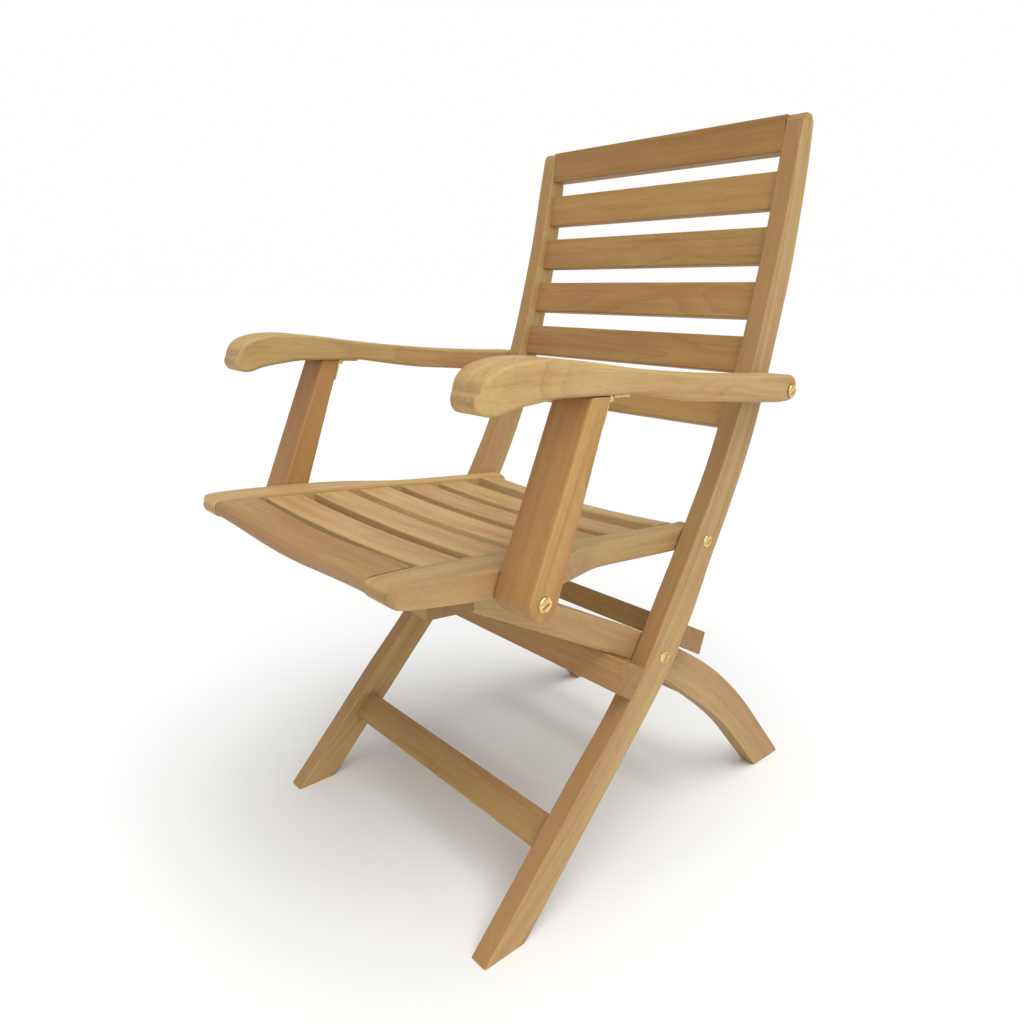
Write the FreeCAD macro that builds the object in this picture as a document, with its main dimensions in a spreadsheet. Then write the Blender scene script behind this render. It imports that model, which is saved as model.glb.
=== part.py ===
import FreeCAD, Part
import math
import os
import Sketcher

# Folding garden armchair in teak. Millimetres. The chair faces -Y, +Z is up, X runs across it.
# The origin is on the floor, midway across the chair and midway along its depth.
# Side outlines are drawn in a (Y, Z) plane whose Y starts at the toes of the front legs.

V = FreeCAD.Vector
doc = FreeCAD.newDocument("folding_armchair")
sheet = doc.addObject("Spreadsheet::Sheet", "dims")

# name, value, what it is
DIMS = [
    ("toe_to_origin", 255.7, "depth from the front toes to the origin"),
    ("stile_in", 199.0, "inner face of the long bent stile-legs"),
    ("stile_thick", 24.5, "thickness of the stile-legs across the chair"),
    ("side_in", 173.6, "inner face of the seat side rails and rear legs"),
    ("side_out", 198.0, "outer face of the rear legs and of the narrow end of the seat"),
    ("seat_wide", 223.0, "outer face of the seat at its wide front end"),
    ("post_in", 224.5, "inner face of the arm posts"),
    ("post_wide", 51.5, "width of the arm posts across the chair"),
    ("arm_in", 217.0, "inner edge of the arms at the front"),
    ("arm_in_rear", 225.0, "inner edge of the arms beside the stiles"),
    ("arm_out", 277.5, "outer edge of the arms at their widest"),
    ("slat_wide", 48.5, "width of a seat slat"),
    ("slat_thick", 15.0, "thickness of a seat slat"),
    ("slat_pitch", 66.5, "spacing of the seat slats"),
    ("slat_first", -0.5, "middle of the first seat slat, from the front toes"),
    ("slat_drop", 4.0, "how far the ends of a seat slat sit below the side rails"),
    ("slat_dish", 4.5, "how far the middle of a seat slat sits below its ends"),
    ("bolt_r", 4.0, "radius of the pivot bolts"),
    ("hole_r", 4.05, "radius of the holes that turn on the bolts"),
    ("head_r", 8.0, "radius of the domed bolt heads"),
    ("head_h", 3.2, "height of the domed bolt heads"),
    ("nut_r", 6.5, "radius of the barrel nuts"),
    ("cap_r", 5.8, "radius of the barrel nuts of the post bolts"),
    ("nut_h", 4.0, "height of the barrel nuts"),
    ("leaf_thick", 2.0, "thickness of the hinge leaves"),
    ("leaf_wide", 44.0, "width of the hinge leaves across the chair"),
    ("leaf_long", 26.0, "length of the hinge leaves from the pin"),
    ("knuckle_r", 3.0, "radius of the hinge knuckles"),
    ("pin_r", 1.5, "radius of the hinge pin"),
]
for row, (name, value, words) in enumerate(DIMS, start=1):
    sheet.set("A%d" % row, name)
    sheet.set("B%d" % row, str(value))
    sheet.set("C%d" % row, words)
    sheet.setAlias("B%d" % row, name)
doc.recompute()
D = {name: value for name, value, words in DIMS}

# Pivots in the side view, (y from the toes, z).
P_LEG = (280.0, 272.0)
P_SEAT = (353.0, 402.0)
P_ARM = (439.0, 581.0)
P_POST = (34.0, 422.0)
P_HINGE = (P_POST[0] + P_ARM[0] - P_SEAT[0], P_POST[1] + P_ARM[1] - P_SEAT[1])
NODES = []


def place(obj, label):
    """Name a finished sub-part and move it from the toe frame to the chair's frame."""
    obj.Label = label
    base = obj.Placement.Base
    obj.Placement = FreeCAD.Placement(base + V(0, -D["toe_to_origin"], 0), obj.Placement.Rotation)
    NODES.append(obj)
    return obj


def origin_plane(body, role):
    return [f for f in body.Origin.OriginFeatures if f.Role == role][0]


def curve(points):
    spline = Part.BSplineCurve()
    spline.interpolate([V(p[0], p[1], 0) for p in points])
    return spline


def draw(sketch, pieces, circles=()):
    """A closed outline from a list of point runs: two points make a line, more make a spline."""
    first = sketch.GeometryCount
    for run in pieces:
        if len(run) == 2:
            sketch.addGeometry(Part.LineSegment(V(run[0][0], run[0][1], 0), V(run[1][0], run[1][1], 0)))
        else:
            sketch.addGeometry(curve(run))
    count = len(pieces)
    for i in range(count):
        sketch.addConstraint(Sketcher.Constraint("Coincident", first + i, 2, first + (i + 1) % count, 1))
    for (cy, cz), radius in circles:
        sketch.addGeometry(Part.Circle(V(cy, cz, 0), V(0, 0, 1), radius))


def sketch_in(body, role, pieces, circles=(), offset=None):
    sk = body.newObject("Sketcher::SketchObject", body.Name + "_outline")
    sk.AttachmentSupport = [(origin_plane(body, role), "")]
    sk.MapMode = "FlatFace"
    if offset:
        sk.setExpression("AttachmentOffset.Base.z", offset)
    draw(sk, pieces, circles)
    return sk


def soften(body, feature, radius, keep=None):
    """Round the long edges of a wooden piece; drilled holes stay sharp."""
    doc.recompute()
    names = []
    for i, edge in enumerate(feature.Shape.Edges, start=1):
        if isinstance(edge.Curve, Part.Circle) and edge.Curve.Radius < 6:
            continue
        if edge.Length < 2.5 * radius:
            continue
        if keep and not keep(edge):
            continue
        names.append("Edge%d" % i)
    fillet = body.newObject("PartDesign::Fillet", body.Name + "_round")
    fillet.Base = (feature, names)
    fillet.Radius = radius
    return fillet


def side_board(label, pieces, inner, thick, side, circles=(), radius=2.5, keep=None):
    """A board standing in the (Y, Z) plane between inner and inner + thick on one side."""
    body = doc.addObject("PartDesign::Body", label)
    start = inner if side > 0 else "-(%s + %s)" % (inner, thick)
    sk = sketch_in(body, "YZ_Plane", pieces, circles, start)
    pad = body.newObject("PartDesign::Pad", label + "_pad")
    pad.Profile = sk
    pad.setExpression("Length", thick)
    sk.Visibility = False
    tip = soften(body, pad, radius, keep) if radius else pad
    body.Tip = tip
    return body


def cross_board(label, pieces, half, radius=2.0, keep=None):
    """A board lying across the chair, drawn in section in the (Y, Z) plane."""
    body = doc.addObject("PartDesign::Body", label)
    sk = sketch_in(body, "YZ_Plane", pieces)
    pad = body.newObject("PartDesign::Pad", label + "_pad")
    pad.Profile = sk
    pad.Midplane = True
    pad.setExpression("Length", "2 * %s" % half)
    sk.Visibility = False
    tip = soften(body, pad, radius, keep) if radius else pad
    body.Tip = tip
    return body


def polygon(points):
    return [[points[i], points[(i + 1) % len(points)]] for i in range(len(points))]


def section(centre, lean, long, thick):
    """A rectangle: its long side leans from vertical towards +Y by `lean` degrees."""
    a = math.radians(lean)
    u = (math.sin(a), math.cos(a))
    n = (math.cos(a), -math.sin(a))
    corner = [(-1, -1), (1, -1), (1, 1), (-1, 1)]
    return [(centre[0] + 0.5 * (i * long * u[0] + j * thick * n[0]),
             centre[1] + 0.5 * (i * long * u[1] + j * thick * n[1])) for i, j in corner]


# ---- stile-legs: one bent board each from the top of the back to the front foot ----
STILE_FRONT = [(74, 79), (148, 158), (221, 236), (233, 252.1), (245, 268), (274, 315), (311, 376),
               (346, 436), (375, 489), (402, 552), (424, 606), (440, 656), (457, 716), (473, 780),
               (487, 848), (497, 893)]
STILE_REAR = [(324, 299.7), (344, 336), (362, 374), (381, 408), (399, 442), (427, 500), (449, 558),
              (464, 606), (478, 656), (493, 712), (506, 781), (516, 850), (519, 889)]
STOP_FRONT = ((221, 236), (245, 268))
STOP_REAR = ((310, 276.4), (324, 299.7))
FOOT = ((0, 0), (58, 0))


def along(run, z):
    """y of an outline at height z."""
    pts = sorted(run, key=lambda p: p[1])
    for a, b in zip(pts, pts[1:]):
        if a[1] <= z <= b[1]:
            return a[0] + (b[0] - a[0]) * (z - a[1]) / (b[1] - a[1])
    return pts[-1][0]


stile_outline = [
    [FOOT[1], (126, 72), (194, 144), (262, 216), (288, 246), STOP_REAR[0]],
    [STOP_REAR[0], STOP_REAR[1]],
    STILE_REAR,
    [STILE_REAR[-1], (512, 898.5)],
    [(512, 898.5), (503, 900)],
    [(503, 900), STILE_FRONT[-1]],
    STILE_FRONT[::-1] + [FOOT[0]],
    [FOOT[0], FOOT[1]],
]
stile_holes = [(P_LEG, D["bolt_r"]), (P_SEAT, D["bolt_r"]), (P_ARM, D["bolt_r"])]
for side, word in ((1, "left"), (-1, "right")):
    board = side_board("stile_leg_" + word, stile_outline, "dims.stile_in", "dims.stile_thick", side,
                       stile_holes, radius=2.2, keep=lambda e: e.Length > 60)
    place(board, "stile_leg_" + word)

# ---- back: top rail, four slats and a lower rail between the stiles ----
BACK = [("back_top_rail", 878.5, 43.0, 24.0), ("back_slat_1", 813.5, 45.0, 15.0),
        ("back_slat_2", 748.5, 45.0, 15.0), ("back_slat_3", 683.0, 45.0, 15.0),
        ("back_slat_4", 617.5, 45.0, 15.0), ("back_lower_rail", 551.5, 47.0, 20.0)]
for label, z, tall, thick in BACK:
    front = along(STILE_FRONT, z)
    rear = along(STILE_REAR, z)
    lean = math.degrees(math.atan((along(STILE_REAR, min(z + 15, 888)) - along(STILE_REAR, z - 15))
                                  / (min(z + 15, 888) - (z - 15))))
    centre = (0.5 * (front + rear) + 1.0, z)
    rail = cross_board(label, polygon(section(centre, lean, tall, thick)), "dims.stile_in", 2.0,
                       keep=lambda e: e.Length > 100)
    place(rail, label)

# ---- front stretcher between the lower legs, set back in their depth ----
a = math.atan2(221.0, 236.0)
stretcher = section((117.2, 90.9), math.degrees(a), 40.0, 18.0)
place(cross_board("front_stretcher", polygon(stretcher), "dims.stile_in", 2.0,
                  keep=lambda e: e.Length > 100), "front_stretcher")

# ---- stop rails: across the front and rear edges of the stiles, cut to the rear legs' slope ----
REAR_LOW = [(13, 395), (245, 271)]
REAR_UP = [(74, 400.5), (265, 301)]
slope = (REAR_LOW[1][1] - REAR_LOW[0][1]) / (REAR_LOW[1][0] - REAR_LOW[0][0])
low_at = lambda y: REAR_LOW[0][1] + slope * (y - REAR_LOW[0][0])
front_stop = [(207, low_at(207) - 0.6), (STOP_FRONT[1][0], STOP_FRONT[1][1]), STOP_FRONT[0], (191, 257)]
place(cross_board("front_stop_rail", polygon(front_stop), "(dims.stile_in + dims.stile_thick)", 2.0,
                  keep=lambda e: e.Length > 100 and e.CenterOfMass.y < 218), "front_stop_rail")
rear_stop = [STOP_REAR[1], (360, 280.5), (350, 252.6), STOP_REAR[0]]
place(cross_board("rear_stop_rail", polygon(rear_stop), "(dims.stile_in + dims.stile_thick)", 2.0,
                  keep=lambda e: e.Length > 100 and e.CenterOfMass.y > 340), "rear_stop_rail")

# ---- rear legs: straight under the seat, bending down to the rear foot ----
REAR_LOW_CURVE = [(245, 271), (310, 225), (368, 178.5), (425, 131), (478, 78)]
REAR_UP_CURVE = [(265, 301), (345, 253), (421, 200), (475, 152), (519, 105)]
rear_outline = [
    [(545, 0), (607, 0)],
    [(607, 0), REAR_UP_CURVE[-1]],
    REAR_UP_CURVE[::-1],
    [REAR_UP[1], (62, 407.2)],
    [(62, 407.2), (13, 414.2)],
    [(13, 414.2), (13, 395)],
    [(13, 395), (245, 271)],
    REAR_LOW_CURVE,
    [REAR_LOW_CURVE[-1], (545, 0)],
]
for side, word in ((1, "left"), (-1, "right")):
    board = side_board("rear_leg_" + word, rear_outline, "dims.side_in", "(dims.side_out - dims.side_in)",
                       side, [(P_LEG, D["hole_r"])], radius=2.2, keep=lambda e: e.Length > 20)
    place(board, "rear_leg_" + word)
place(cross_board("rear_frame_front_rail", polygon([(-42, 402.5), (13, 397.5), (13, 414.2), (-42, 421.6)]),
                  "dims.side_out", 2.0, keep=lambda e: e.Length > 100 and e.CenterOfMass.y < 0),
      "rear_frame_front_rail")
place(cross_board("rear_frame_cross_rail", polygon(section((437, 148), -43, 42, 18)), "dims.side_in", 2.0,
                  keep=lambda e: e.Length > 100), "rear_frame_cross_rail")

# ---- seat: two shaped side rails, bull-nosed front rail, rear rail and five dished slats ----
SEAT_TOP = [(-87, 450), (-54, 449.5), (-21, 447.5), (20, 444.5), (120, 435.5), (217, 426.5),
            (273, 421.5), (320, 417.5), (356, 415)]
SEAT_LOW = [(-87, 430.5), (18, 414.5), (118, 403), (190, 399.5), (255, 394.5), (320, 389.5),
            (356, 387.5)]
FRONT_RAIL = (-91.0, -36.5)


def seat_top(y):
    pts = SEAT_TOP
    for p, q in zip(pts, pts[1:]):
        if p[0] <= y <= q[0]:
            return p[1] + (q[1] - p[1]) * (y - p[0]) / (q[0] - p[0])
    return pts[0][1]


side_outline = [
    SEAT_TOP[::-1],
    [SEAT_TOP[0], (-93, 441), SEAT_LOW[0]],
    SEAT_LOW,
    [SEAT_LOW[-1], (367, 391), (371.5, 401), (367, 411), SEAT_TOP[-1]],
]
# in plan the outer face runs in from the wide front to pass between the stiles
plan_cut = [(56, 1.0), (80, -0.6), (105, -4), (140, -13), (172, -22), (196, -25)]
for side, word in ((1, "left"), (-1, "right")):
    label = "seat_side_rail_" + word
    body = side_board(label, side_outline, "dims.side_in", "(dims.seat_wide - dims.side_in)", side,
                      [(P_POST, D["bolt_r"]), (P_SEAT, D["hole_r"])], radius=0)
    wide = D["seat_wide"]
    flip = [(side * (wide + dx), y) for y, dx in plan_cut]
    outer = side * (wide + 20)
    cut = sketch_in(body, "XY_Plane", [
        flip,
        [flip[-1], (flip[-1][0], 400)],
        [(flip[-1][0], 400), (outer, 400)],
        [(outer, 400), (outer, 56)],
        [(outer, 56), flip[0]],
    ])
    nose = [(side * (wide - dx), y) for dx, y in [(3.2, -74), (4.8, -81), (9, -87.5), (17, -91.8)]]
    pocket = body.newObject("PartDesign::Pocket", label + "_taper")
    pocket.Profile = cut
    pocket.Type = 1
    pocket.Midplane = True
    cut.Visibility = False
    body.Tip = soften(body, pocket, 3.0, keep=lambda e: e.Length > 40)
    corner = sketch_in(body, "XY_Plane", [
        [(side * wide, 14), nose[0]],
        nose,
        [nose[-1], (nose[-1][0], -120)],
        [(nose[-1][0], -120), (outer, -120)],
        [(outer, -120), (outer, 14)],
        [(outer, 14), (side * wide, 14)],
    ])
    rounded = body.newObject("PartDesign::Pocket", label + "_corner")
    rounded.Profile = corner
    rounded.Type = 1
    rounded.Midplane = True
    corner.Visibility = False
    body.Tip = rounded
    place(body, label)

half = D["side_in"]


def dished(label, y0, y1, top0, thick, dish, radius=2.0, level_ends=False):
    """A cross board with a dished top, between the side rails, from depth y0 to y1."""
    body = doc.addObject("PartDesign::Body", label)
    top = [(-half, 0), (-half / 2, -0.75 * dish), (0, -dish), (half / 2, -0.75 * dish), (half, 0)]
    if level_ends:
        steps = [i / 6.0 for i in range(-6, 7)]
        top = [(half * t, -0.5 * dish * (1 + math.cos(math.pi * t))) for t in steps]
    low = [(p[0], p[1] - thick) for p in top]
    sk = sketch_in(body, "XZ_Plane", [top, [top[-1], low[-1]], low[::-1], [low[0], top[0]]])
    pad = body.newObject("PartDesign::Pad", label + "_pad")
    pad.Profile = sk
    pad.Midplane = True
    pad.Length = y1 - y0
    sk.Visibility = False
    tilt = math.degrees(math.atan((seat_top(y1) - seat_top(y0)) / (y1 - y0)))
    body.Tip = soften(body, pad, radius, keep=lambda e: e.Length > 200)
    body.Placement = FreeCAD.Placement(V(0, 0.5 * (y0 + y1), top0), FreeCAD.Rotation(V(1, 0, 0), tilt))
    return body


front = dished("seat_front_rail", FRONT_RAIL[0], FRONT_RAIL[1], seat_top(-64), 18.5, 6.0, radius=7.5,
               level_ends=True)
place(front, "seat_front_rail")
rear = dished("seat_rear_rail", 317.0, 345.0, seat_top(331), 26.0, 6.0, radius=2.5)
place(rear, "seat_rear_rail")
for n in range(5):
    y0 = D["slat_first"] + n * D["slat_pitch"] - 0.5 * D["slat_wide"]
    y1 = y0 + D["slat_wide"]
    slat = dished("seat_slat_%d" % (n + 1), y0, y1, seat_top(0.5 * (y0 + y1)) - D["slat_drop"],
                  D["slat_thick"], D["slat_dish"], radius=2.0)
    place(slat, "seat_slat_%d" % (n + 1))

# ---- arm posts: tapered boards, round at the bolt, square under the arm ----
r = 18.0
py, pz = P_POST
round_foot = [(py + r * math.cos(t), pz + r * math.sin(t)) for t in
              [math.radians(v) for v in (-18, -45, -75, -105, -135, -170, -203)]]
post_outline = [
    round_foot,
    [round_foot[-1], (91.5, 604.9)],
    [(91.5, 604.9), (116.4, 603.6)],
    [(116.4, 603.6), round_foot[0]],
]
for side, word in ((1, "left"), (-1, "right")):
    board = side_board("arm_post_" + word, post_outline, "dims.post_in", "dims.post_wide", side,
                       [(P_POST, D["hole_r"])], radius=3.0, keep=lambda e: e.Length > 28)
    place(board, "arm_post_" + word)

# ---- arms: curved boards, wide at the front, round at the rear pivot ----
ARM_TOP = [(-27, 617), (-17, 632), (5, 640.5), (40, 642.5), (82, 638), (120, 632), (160, 626),
           (243, 615.5), (335, 606.5), (418, 601)]
ARM_LOW = [(150, 602.6), (190, 595.5), (228, 589), (300, 581), (375, 573), (420, 569)]
tail = [(P_ARM[0] - 2.5 + 15.4 * math.cos(t), P_ARM[1] + 3.6 + 15.4 * math.sin(t))
        for t in [math.radians(v) for v in (-85, -45, 0, 45, 85)]]
arm_outline = [
    ARM_TOP[::-1],
    [ARM_TOP[0], (-30, 606), (-22, 598), (0, 600.5), (30, 605), (60, 607.1)],
    [(60, 607.1), ARM_LOW[0]],
    ARM_LOW,
    [ARM_LOW[-1], tail[0]],
    tail,
    [tail[-1], ARM_TOP[-1]],
]
for side, word in ((1, "left"), (-1, "right")):
    label = "arm_" + word
    body = side_board(label, arm_outline, "dims.arm_in", "(dims.arm_out - dims.arm_in)", side,
                      [(P_ARM, D["hole_r"])], radius=0)
    inner = [(D["arm_in"] + 12, -34), (D["arm_in"] + 3, -22), (D["arm_in"] + 0.4, -4),
             (D["arm_in"] + 0.4, 60), (D["arm_in"] + 2.5, 180), (D["arm_in_rear"], 340),
             (D["arm_in_rear"], 470)]
    outer = [(D["arm_out"] - 8.5, 470), (D["arm_out"] - 8, 340), (D["arm_out"] - 3, 200),
             (D["arm_out"] - 0.4, 100), (D["arm_out"] - 5, 20), (D["arm_out"] - 12, -18),
             (D["arm_out"] - 22, -34)]
    ring = [[(side * x, y) for x, y in run] for run in
            (inner, [inner[-1], outer[0]], outer, [outer[-1], inner[0]])]
    frame_box = polygon([(side * 190, -60), (side * 190, 500), (side * 300, 500), (side * 300, -60)])
    plan = sketch_in(body, "XY_Plane", ring)
    draw(plan, frame_box)
    pocket = body.newObject("PartDesign::Pocket", label + "_plan")
    pocket.Profile = plan
    pocket.Type = 1
    pocket.Midplane = True
    plan.Visibility = False
    body.Tip = soften(body, pocket, 4.0, keep=lambda e: e.Length > 25)
    place(body, label)

# ---- slotted brass pivot bolts with barrel nuts ----


def turned(label, profile, side, y, z):
    """A round part on an X axis, revolved from (x, radius) points given for the +X side."""
    body = doc.addObject("PartDesign::Body", label)
    sk = sketch_in(body, "XY_Plane", polygon([(x, rad) for x, rad in profile]))
    rev = body.newObject("PartDesign::Revolution", label + "_turned")
    rev.Profile = sk
    rev.ReferenceAxis = (sk, ["H_Axis"])
    rev.Angle = 360
    sk.Visibility = False
    body.Tip = rev
    body.Placement = FreeCAD.Placement(V(0, y, z), FreeCAD.Rotation(V(0, 0, 1), 0 if side > 0 else 180))
    return body


def bolt(label, side, at, head_face, tip_x, turn):
    hr, hh, br = D["head_r"], D["head_h"], D["bolt_r"]
    dome = [(head_face + hh * math.cos(t), hr * math.sin(t)) for t in
            [math.radians(v) for v in (0, 20, 40, 60, 75)]]
    profile = [(tip_x, 0)] + dome + [(head_face + 0.6, hr), (head_face, hr), (head_face, br), (tip_x, br)]
    body = turned(label, profile, side, at[0], at[1])
    slot = sketch_in(body, "YZ_Plane", polygon(section((0, 0), turn, 30.0, 1.8)))
    slot.AttachmentOffset = FreeCAD.Placement(V(0, 0, head_face + 1.2), FreeCAD.Rotation())
    cut = body.newObject("PartDesign::Pocket", label + "_slot")
    cut.Profile = slot
    cut.Type = 1
    cut.Reversed = True
    slot.Visibility = False
    body.Tip = cut
    return place(body, label)


def nut(label, side, at, face_x, size="nut_r"):
    """A round nut on the inner end of a bolt; its outer face is at face_x."""
    nr, nh, br = D[size], D["nut_h"], D["bolt_r"]
    profile = [(face_x, br), (face_x, nr), (face_x - nh + 1, nr), (face_x - nh, nr - 1), (face_x - nh, br)]
    return place(turned(label, profile, side, at[0], at[1]), label)


stile_out = D["stile_in"] + D["stile_thick"]
for side, word in ((1, "left"), (-1, "right")):
    bolt("leg_bolt_" + word, side, P_LEG, stile_out, D["side_in"] - 4.5, 28.0)
    nut("leg_nut_" + word, side, P_LEG, D["side_in"] - 0.5)
    bolt("seat_bolt_" + word, side, P_SEAT, stile_out, D["side_in"] - 4.5, 52.0)
    nut("seat_nut_" + word, side, P_SEAT, D["side_in"] - 0.5)
    bolt("arm_bolt_" + word, side, P_ARM, D["arm_out"] - 8.0, D["stile_in"] - 4.0, 48.0)
    nut("arm_nut_" + word, side, P_ARM, D["stile_in"])
    bolt("post_bolt_" + word, side, P_POST, D["post_in"] + D["post_wide"] + 0.4, D["side_in"] - 4.0, 66.0)
    nut("post_nut_" + word, side, P_POST, D["side_in"], "cap_r")

# ---- butt hinge between each post and arm ----
hy, hz = P_HINGE
arm_lean = math.degrees(math.atan((602.6 - 607.1) / 90.0))
post_lean = math.degrees(math.atan2(116.4 - round_foot[0][0], 603.6 - round_foot[0][1]))


def leaf(label, side, direction, face_up, spans, bore, with_pin):
    mid = D["post_in"] + 0.5 * D["post_wide"]
    x0 = mid - 0.5 * D["leaf_wide"]
    kr, th, ln = D["knuckle_r"], D["leaf_thick"], D["leaf_long"]
    z0 = kr - th if face_up else -kr
    body = None
    for b0, b1 in spans:
        drum = Part.makeCylinder(kr, b1 - b0, V(x0 + b0, 0, 0), V(1, 0, 0))
        tab = Part.makeBox(b1 - b0, kr + 1.2, th, V(x0 + b0, 0, z0))
        piece = drum.fuse(tab)
        body = piece if body is None else body.fuse(piece)
    body = body.fuse(Part.makeBox(D["leaf_wide"], ln - kr - 1.0, th, V(x0, kr + 1.0, z0)))
    if with_pin:
        body = body.fuse(Part.makeCylinder(D["pin_r"], D["leaf_wide"], V(x0, 0, 0), V(1, 0, 0)))
    else:
        body = body.cut(Part.makeCylinder(bore, D["leaf_wide"] + 2, V(x0 - 1, 0, 0), V(1, 0, 0)))
    body.rotate(V(0, 0, 0), V(1, 0, 0), direction)
    if side < 0:
        body = body.mirror(V(0, 0, 0), V(1, 0, 0))
    feature = doc.addObject("Part::Feature", label)
    feature.Shape = body.removeSplitter()
    feature.Placement = FreeCAD.Placement(V(0, hy, hz), FreeCAD.Rotation())
    return place(feature, label)


w = D["leaf_wide"]
for side, word in ((1, "left"), (-1, "right")):
    leaf("hinge_arm_leaf_" + word, side, arm_lean, True, [(w / 3 + 0.35, 2 * w / 3 - 0.35)],
         D["pin_r"] + 0.05, False)
    leaf("hinge_post_leaf_" + word, side, -90.0 - post_lean, False,
         [(0, w / 3 - 0.35), (2 * w / 3 + 0.35, w)], 0, True)

doc.recompute()
bad = []
for obj in doc.Objects:
    if "Invalid" in obj.State or "Error" in obj.State:
        bad.append("%s: %s" % (obj.Label, obj.State))
os.makedirs("parts", exist_ok=True)
for obj in NODES:
    if obj.Shape.isNull() or not obj.Shape.isValid() or len(obj.Shape.Solids) != 1:
        bad.append("%s: shape null %s valid %s solids %d" % (
            obj.Label, obj.Shape.isNull(), obj.Shape.isValid(), len(obj.Shape.Solids)))
        continue
    obj.Shape.exportStep("parts/%s.step" % obj.Label)
if bad:
    raise RuntimeError("; ".join(bad))
print("nodes written:", len(NODES))
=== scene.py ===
import math
import random

import bpy
from mathutils import Matrix, Vector


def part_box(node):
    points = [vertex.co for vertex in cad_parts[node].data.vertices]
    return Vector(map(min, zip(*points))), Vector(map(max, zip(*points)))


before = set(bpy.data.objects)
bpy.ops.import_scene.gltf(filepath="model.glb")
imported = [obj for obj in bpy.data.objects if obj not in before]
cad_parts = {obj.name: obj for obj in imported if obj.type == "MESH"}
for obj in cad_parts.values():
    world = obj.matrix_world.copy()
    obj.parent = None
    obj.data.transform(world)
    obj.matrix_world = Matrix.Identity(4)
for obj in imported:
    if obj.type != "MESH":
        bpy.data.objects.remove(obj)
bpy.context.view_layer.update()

# Folding teak garden armchair. Metres. It faces -Y, +Z is up, and left means +X.

# ---------------------------------------------------------------- shader helpers


class Tree:
    """A material's nodes, built from the texture coordinates towards the shader."""

    def __init__(self, name):
        self.mat = bpy.data.materials.new(name)
        self.mat.use_nodes = True
        self.nodes = self.mat.node_tree.nodes
        self.links = self.mat.node_tree.links
        self.nodes.clear()
        self.out = self.nodes.new("ShaderNodeOutputMaterial")
        self.shader = self.nodes.new("ShaderNodeBsdfPrincipled")
        self.links.new(self.shader.outputs[0], self.out.inputs[0])

    def put(self, socket, value):
        if isinstance(value, bpy.types.NodeSocket):
            self.links.new(value, socket)
        elif value is not None:
            socket.default_value = value

    def math(self, op, a, b=None, c=None):
        node = self.nodes.new("ShaderNodeMath")
        node.operation = op
        for i, v in enumerate((a, b, c)):
            self.put(node.inputs[i], v)
        return node.outputs[0]

    def vector(self, op, a, b=None):
        node = self.nodes.new("ShaderNodeVectorMath")
        node.operation = op
        self.put(node.inputs[0], a)
        self.put(node.inputs[1], b)
        return node.outputs["Value" if op in ("DOT_PRODUCT", "LENGTH") else "Vector"]

    def split(self, v):
        node = self.nodes.new("ShaderNodeSeparateXYZ")
        self.put(node.inputs[0], v)
        return node.outputs[0], node.outputs[1], node.outputs[2]

    def join(self, x, y, z):
        node = self.nodes.new("ShaderNodeCombineXYZ")
        for i, v in enumerate((x, y, z)):
            self.put(node.inputs[i], v)
        return node.outputs[0]

    def noise(self, v, scale=1.0, detail=2.0, rough=0.5):
        node = self.nodes.new("ShaderNodeTexNoise")
        self.put(node.inputs["Vector"], v)
        node.inputs["Scale"].default_value = scale
        node.inputs["Detail"].default_value = detail
        node.inputs["Roughness"].default_value = rough
        return node.outputs["Fac"]

    def spread(self, value, low, high, to_low=0.0, to_high=1.0, smooth=True):
        node = self.nodes.new("ShaderNodeMapRange")
        node.interpolation_type = "SMOOTHSTEP" if smooth else "LINEAR"
        self.put(node.inputs["Value"], value)
        node.inputs["From Min"].default_value = low
        node.inputs["From Max"].default_value = high
        node.inputs["To Min"].default_value = to_low
        node.inputs["To Max"].default_value = to_high
        return node.outputs[0]

    def mix(self, amount, a, b, blend="MIX"):
        node = self.nodes.new("ShaderNodeMix")
        node.data_type = "RGBA"
        node.blend_type = blend
        self.put(node.inputs[0], amount)
        for socket, value in ((node.inputs[6], a), (node.inputs[7], b)):
            if isinstance(value, tuple):
                value = (*value, 1.0)
            self.put(socket, value)
        return node.outputs[2]

    def bump(self, height, distance, strength):
        node = self.nodes.new("ShaderNodeBump")
        node.inputs["Distance"].default_value = distance
        node.inputs["Strength"].default_value = strength
        self.put(node.inputs["Height"], height)
        self.links.new(node.outputs[0], self.shader.inputs["Normal"])


# ---------------------------------------------------------------- teak

# linear colours
HONEY = (0.445, 0.300, 0.118)    # pale tone of the outer faces
PALE = (0.50, 0.350, 0.150)      # the lightest clouds and fibres
PINK = (0.395, 0.232, 0.100)     # pinkish brown streaks
AMBER = (0.290, 0.150, 0.050)    # latewood lines
RUSSET = (0.300, 0.152, 0.052)   # front and rear edges of the boards
UMBER = (0.150, 0.072, 0.026)    # front and rear faces of the boards: partly the darker tone of their grain, partly painted shade where the key light falls less
END_LIGHT, END_DARK = (0.290, 0.165, 0.068), (0.165, 0.085, 0.032)    # the two tones of end grain
END_SHARE = 0.45                 # how much of the end grain's tone shows on a sawn end
PORE_SHARE = 0.35
BUMP_DEPTH, BUMP_STRENGTH = 0.0006, 0.35


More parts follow.
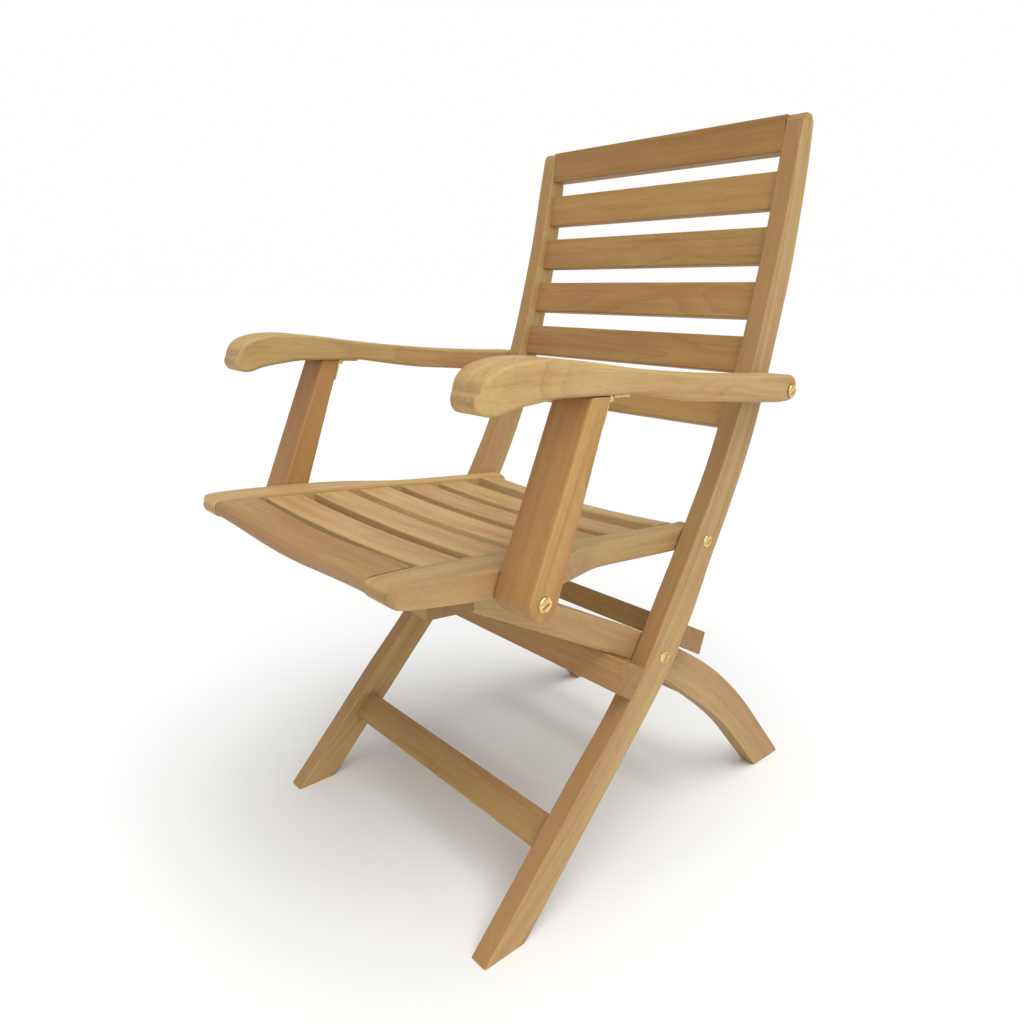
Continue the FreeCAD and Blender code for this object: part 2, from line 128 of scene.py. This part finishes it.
def teak(name, grain, across, seed, depth, middle, pith, ring, bend=0.0, half=0.5, lines=0.5, edge=0.0,
         tint=(1.0, 1.0, 1.0)):
    """Oiled teak for one board, centred on `middle`.

    The grain runs along `grain`, and `across` points over the board's width. `bend` metres of
    sagitta over `half` of its length let the grain follow a bent board. `pith` is where the middle
    of the tree lay, `ring` the width of a year's growth, `lines` how strongly the late wood is
    darkened, and `edge` how strongly the faces across the board's width are darkened, which is partly
    grain tone and partly painted shade; `depth` and `tint` scale the finished colour.
    """
    t = Tree(name)
    rnd = random.Random(seed)
    g = Vector(grain).normalized()
    a = Vector(across)
    a = (a - a.dot(g) * g).normalized()
    b = g.cross(a)
    coords = t.nodes.new("ShaderNodeTexCoord")
    place = t.vector("SUBTRACT", coords.outputs["Object"], tuple(middle))
    along = t.vector("DOT_PRODUCT", place, tuple(g))
    side = t.vector("DOT_PRODUCT", place, tuple(a))
    deep = t.vector("DOT_PRODUCT", place, tuple(b))
    if bend:
        share = t.math("DIVIDE", along, half)
        side = t.math("MULTIPLY_ADD", t.math("MULTIPLY", share, share), bend, side)
    shift = rnd.uniform(3, 60)
    base = t.join(t.math("ADD", along, shift), side, deep)

    # growth rings round a pith that lies outside the board, wandering a little along its length
    warp = t.noise(t.vector("MULTIPLY", base, (2.6, 9.0, 9.0)), 1.0, 2.0, 0.55)
    warp2 = t.noise(t.vector("MULTIPLY", base, (9.0, 45.0, 45.0)), 1.0, 2.0, 0.6)
    wander = t.math("MULTIPLY_ADD", t.math("SUBTRACT", warp, 0.5), 0.040, 0.0)
    wander = t.math("MULTIPLY_ADD", t.math("SUBTRACT", warp2, 0.5), 0.0045, wander)
    tilt = rnd.uniform(-0.035, 0.035)
    py = t.math("ADD", side, t.math("MULTIPLY_ADD", along, tilt, -pith[0]))
    pz = t.math("ADD", deep, -pith[1])
    far = t.vector("LENGTH", t.join(0.0, py, pz))
    far = t.math("ADD", far, wander)
    phase = t.math("DIVIDE", far, ring)
    uneven = t.noise(t.join(t.math("MULTIPLY", far, 95.0), shift, 0.0), 1.0, 1.0, 0.5)
    phase = t.math("MULTIPLY_ADD", uneven, 2.2, phase)
    rise = t.math("FRACT", phase)
    late = t.math("MULTIPLY", t.math("POWER", rise, 2.4), t.spread(rise, 1.0, 0.93))
    strong = t.spread(uneven, 0.35, 0.68, 0.25, 1.0)
    late = t.math("MULTIPLY", late, strong)

    # fibres, pores and broad streaks, all long in the grain
    fibre = t.noise(t.vector("MULTIPLY", base, (14.0, 620.0, 620.0)), 1.0, 3.0, 0.6)
    streak = t.noise(t.vector("MULTIPLY", base, (3.2, 105.0, 105.0)), 1.0, 3.0, 0.62)
    broad = t.noise(t.vector("MULTIPLY", base, (2.0, 26.0, 26.0)), 1.0, 2.0, 0.5)
    cloud = t.noise(t.vector("MULTIPLY", base, (6.0, 9.0, 9.0)), 1.0, 2.0, 0.5)
    pore = t.noise(t.vector("MULTIPLY", base, (85.0, 1700.0, 1700.0)), 1.0, 1.0, 0.5)
    pore = t.spread(pore, 0.60, 0.72)

    normal = coords.outputs["Normal"]
    face = t.math("ABSOLUTE", t.vector("DOT_PRODUCT", normal, tuple(g)))
    end = t.spread(face, 0.80, 0.97)
    # mask of the faces across the board's width (front and rear of legs and posts): partly grain tone,
    # partly painted shade
    front_rear_tone_and_shade_mask = t.spread(t.math("ABSOLUTE", t.vector("DOT_PRODUCT", normal, tuple(a))), 0.55, 0.9)

    colour = t.mix(t.spread(broad, 0.38, 0.64), HONEY, PINK)
    colour = t.mix(t.spread(cloud, 0.3, 0.75, 0.0, 0.35), colour, PALE)
    colour = t.mix(t.math("MULTIPLY", late, lines), colour, AMBER)
    colour = t.mix(t.spread(streak, 0.50, 0.72, 0.0, 0.42), colour, AMBER)
    colour = t.mix(t.spread(streak, 0.30, 0.47, 0.30, 0.0), colour, PALE)
    colour = t.mix(t.spread(fibre, 0.35, 0.70, 0.0, 0.20), colour, AMBER)
    colour = t.mix(t.math("MULTIPLY", pore, PORE_SHARE), colour, UMBER)
    # darken those faces towards RUSSET: partly their grain tone, partly painted shade
    if edge:
        colour = t.mix(t.math("MULTIPLY", front_rear_tone_and_shade_mask, edge), colour, RUSSET)
    ends = t.mix(t.spread(fibre, 0.3, 0.7), END_LIGHT, END_DARK)
    colour = t.mix(t.math("MULTIPLY", end, END_SHARE), colour, ends)
    shade = tuple(depth * c for c in tint)
    colour = t.mix(1.0, colour, shade, "MULTIPLY")
    t.put(t.shader.inputs["Base Color"], colour)
    worn = t.math("MULTIPLY_ADD", streak, 0.6, t.math("MULTIPLY", fibre, 0.4))
    t.put(t.shader.inputs["Roughness"], t.spread(worn, 0.3, 0.7, 0.46, 0.64, False))
    t.shader.inputs["Specular IOR Level"].default_value = 0.32
    height = t.math("SUBTRACT", t.math("MULTIPLY_ADD", fibre, 0.45, t.math("MULTIPLY", streak, 0.25)),
                    t.math("MULTIPLY_ADD", pore, 0.6, t.math("MULTIPLY", late, 0.25)))
    t.bump(height, BUMP_DEPTH, BUMP_STRENGTH)
    return t.mat


def brass(name, seed):
    """Satin brass, a little dulled in patches; `seed` moves the patches."""
    t = Tree(name)
    coords = t.nodes.new("ShaderNodeTexCoord")
    place = t.vector("ADD", coords.outputs["Object"], (seed, 0.0, 0.0))
    dull = t.noise(place, 260.0, 3.0, 0.6)
    fine = t.noise(place, 1900.0, 2.0, 0.5)
    colour = t.mix(t.spread(dull, 0.35, 0.7), (0.80, 0.60, 0.27), (0.55, 0.38, 0.15))
    t.put(t.shader.inputs["Base Color"], colour)
    t.shader.inputs["Metallic"].default_value = 1.0
    t.put(t.shader.inputs["Roughness"], t.spread(dull, 0.3, 0.75, 0.20, 0.42, False))
    t.bump(fine, 0.00008, 0.3)
    return t.mat


def assign(name, material):
    """Give a CAD node its one material."""
    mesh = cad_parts[name].data
    mesh.materials.clear()
    mesh.materials.append(material)


def middle_of(name):
    low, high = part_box(name)
    return (Vector(low) + Vector(high)) / 2


# the colour that multiplies each kind of board named here; the others keep the plain wood tones
TOP_RAIL_TINT = (0.74, 0.62, 0.46)
BACK_TINT = (0.86, 0.75, 0.60)
SLAT_TINT = (1.04, 1.02, 1.0)
NOSE_TINT = (0.84, 0.76, 0.68)
LOW_RAIL_TINT = (0.86, 0.80, 0.70)
POST_TINT = (0.92, 0.80, 0.66)
FIRST_SEED, SEED_STEP = 11, 7

seed = FIRST_SEED
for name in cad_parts:
    seed += SEED_STEP
    if "bolt" in name or "nut" in name or name.startswith("hinge"):
        assign(name, brass("brass_" + name, seed * 0.13))
        continue
    rnd = random.Random(seed * 31)
    side = 1.0 if name.endswith("left") else -1.0
    opts = dict(seed=seed, middle=middle_of(name), depth=rnd.uniform(0.94, 1.06),
                ring=rnd.uniform(0.0055, 0.0075),
                pith=(rnd.uniform(-0.03, 0.03), side * rnd.uniform(0.07, 0.12)))
    if name.startswith("stile_leg"):
        opts.update(grain=(0, 0.474, 0.881), across=(0, 1, -0.5), bend=0.124, half=0.505, edge=0.62)
    elif name.startswith("rear_leg"):
        opts.update(grain=(0, 0.812, -0.584), across=(0, 0.5, 1), bend=0.055, half=0.35, edge=0.5)
    elif name.startswith("arm_post"):
        opts.update(grain=(0, 0.40, 0.91), across=(0, 1, 0), edge=0.45, lines=0.8, tint=POST_TINT)
    elif name.startswith("arm_"):
        opts.update(grain=(0, 0.996, -0.085), across=(0, 0, 1), bend=0.010, half=0.25)
    elif name.startswith("seat_side"):
        opts.update(grain=(0, 0.997, -0.08), across=(0, 0, 1))
    else:
        opts.update(grain=(1, 0, 0), across=(0, 0.3, 1) if name.startswith("back") else (0, 1, 0.1))
        opts["pith"] = (rnd.uniform(-0.02, 0.02), rnd.choice((-1, 1)) * rnd.uniform(0.06, 0.11))
        if name == "back_top_rail":
            opts["tint"] = TOP_RAIL_TINT
        elif name.startswith("back"):
            opts["tint"] = BACK_TINT
        elif name.startswith("seat_slat"):
            opts["tint"] = SLAT_TINT
        elif name == "seat_front_rail":
            opts["tint"] = NOSE_TINT
        elif "stretcher" in name or "stop" in name or "frame" in name:
            opts["tint"] = LOW_RAIL_TINT
    assign(name, teak("teak_" + name, **opts))

# ---------------------------------------------------------------- stage, light and camera

FLOOR_HALF = 60                  # metres from the middle to each side
PAPER_DARK, PAPER_LIGHT = (0.775, 0.772, 0.768), (0.790, 0.787, 0.783)
SUN_ENERGY, SUN_ANGLE = 2.9, 58  # degrees across, so that shadows stay soft
SOFTBOX_ENERGY = 14

floor_mesh = bpy.data.meshes.new("floor")
corners = [(x * FLOOR_HALF, y * FLOOR_HALF, 0) for x, y in ((-1, -1), (1, -1), (1, 1), (-1, 1))]
floor_mesh.from_pydata(corners, [], [(0, 1, 2, 3)])
floor = bpy.data.objects.new("floor", floor_mesh)
bpy.context.scene.collection.objects.link(floor)
paper = Tree("floor_paper")
spot = paper.nodes.new("ShaderNodeTexCoord")
tone = paper.noise(spot.outputs["Object"], 3.0, 2.0, 0.5)
paper.put(paper.shader.inputs["Base Color"], paper.mix(tone, PAPER_DARK, PAPER_LIGHT))
paper.shader.inputs["Roughness"].default_value = 0.9
floor_mesh.materials.append(paper.mat)

scene = bpy.context.scene
scene.view_settings.view_transform = "Standard"
world = bpy.data.worlds.new("studio")
scene.world = world
world.use_nodes = True
nodes, links = world.node_tree.nodes, world.node_tree.links
nodes.clear()
direction = nodes.new("ShaderNodeTexCoord")
parts = nodes.new("ShaderNodeSeparateXYZ")
links.new(direction.outputs["Generated"], parts.inputs[0])
ramp = nodes.new("ShaderNodeMapRange")
ramp.interpolation_type = "SMOOTHSTEP"
links.new(parts.outputs[2], ramp.inputs["Value"])
# white up to a little above the horizon, then dimmer, so that the key light does most of the work
for key, value in (("From Min", 0.28), ("From Max", 0.50), ("To Min", 1.0), ("To Max", 0.34)):
    ramp.inputs[key].default_value = value
sky = nodes.new("ShaderNodeBackground")
sky.inputs[0].default_value = (1.0, 0.995, 0.985, 1.0)
links.new(ramp.outputs[0], sky.inputs[1])
world_out = nodes.new("ShaderNodeOutputWorld")
links.new(sky.outputs[0], world_out.inputs[0])


def aim(obj, target):
    obj.rotation_mode = "QUATERNION"
    obj.rotation_quaternion = (Vector(target) - obj.location).to_track_quat("-Z", "Y")


sun_data = bpy.data.lights.new("key", "SUN")
sun_data.energy = SUN_ENERGY
sun_data.angle = math.radians(SUN_ANGLE)
sun_data.color = (0.98, 1.0, 1.0)
sun = bpy.data.objects.new("key", sun_data)
scene.collection.objects.link(sun)
sun.location = (1.5, -0.4, 4.4)
aim(sun, (0, 0, 0))
box_data = bpy.data.lights.new("softbox", "AREA")
box_data.shape = "RECTANGLE"
box_data.size, box_data.size_y = 1.6, 1.2
box_data.energy = SOFTBOX_ENERGY
softbox = bpy.data.objects.new("softbox", box_data)
scene.collection.objects.link(softbox)
softbox.location = (2.4, -1.6, 1.7)
aim(softbox, (0, 0, 0.5))

FOCAL_PX, WIDE_PX = 807.5, 1024.0
cam_data = bpy.data.cameras.new("camera")
cam_data.sensor_width = 36.0
cam_data.lens = 36.0 * FOCAL_PX / WIDE_PX
cam_data.shift_x, cam_data.shift_y = -0.0048, -0.0194
cam_data.clip_start, cam_data.clip_end = 0.05, 200.0
camera = bpy.data.objects.new("camera", cam_data)
scene.collection.objects.link(camera)
azimuth, elevation, roll = math.radians(48.8), math.radians(14.4), math.radians(-0.1)
back = Vector((math.sin(azimuth) * math.cos(elevation), -math.cos(azimuth) * math.cos(elevation),
               math.sin(elevation)))
camera.location = (0.7742, -0.4359 - 0.2557, 0.7033)
camera.rotation_mode = "QUATERNION"
turn = Matrix.Rotation(roll, 3, "Z").to_quaternion()
camera.rotation_quaternion = (-back).to_track_quat("-Z", "Y") @ turn
scene.camera = camera
